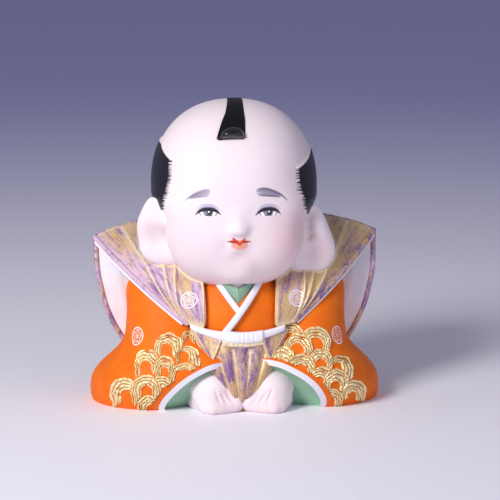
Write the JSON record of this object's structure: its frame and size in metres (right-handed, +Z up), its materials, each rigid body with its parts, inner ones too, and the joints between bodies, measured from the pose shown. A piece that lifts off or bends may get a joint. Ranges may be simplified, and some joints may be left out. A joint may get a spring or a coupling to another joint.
{
  "type": "hakata doll",
  "caption": "Painted fired-clay doll of a kneeling figure in formal stiff-shouldered dress, bowing with both hands on the floor; stands on a shelf as an ornament.",
  "frame": {"origin": "on the flat underside, in the plane the doll stands on, under the middle of the doll", "axes": "+Z up, the figure faces -Y, +X to the right of someone who looks at its face"},
  "size_m": [0.1436, 0.1069, 0.15],
  "materials": {
    "painted_clay": "fired clay with matt hand-painted colours, glossy black hair and raised gold line work"
  },
  "bodies": {
    "root": {"doll": "painted_clay"}
  },
  "joints": []
}
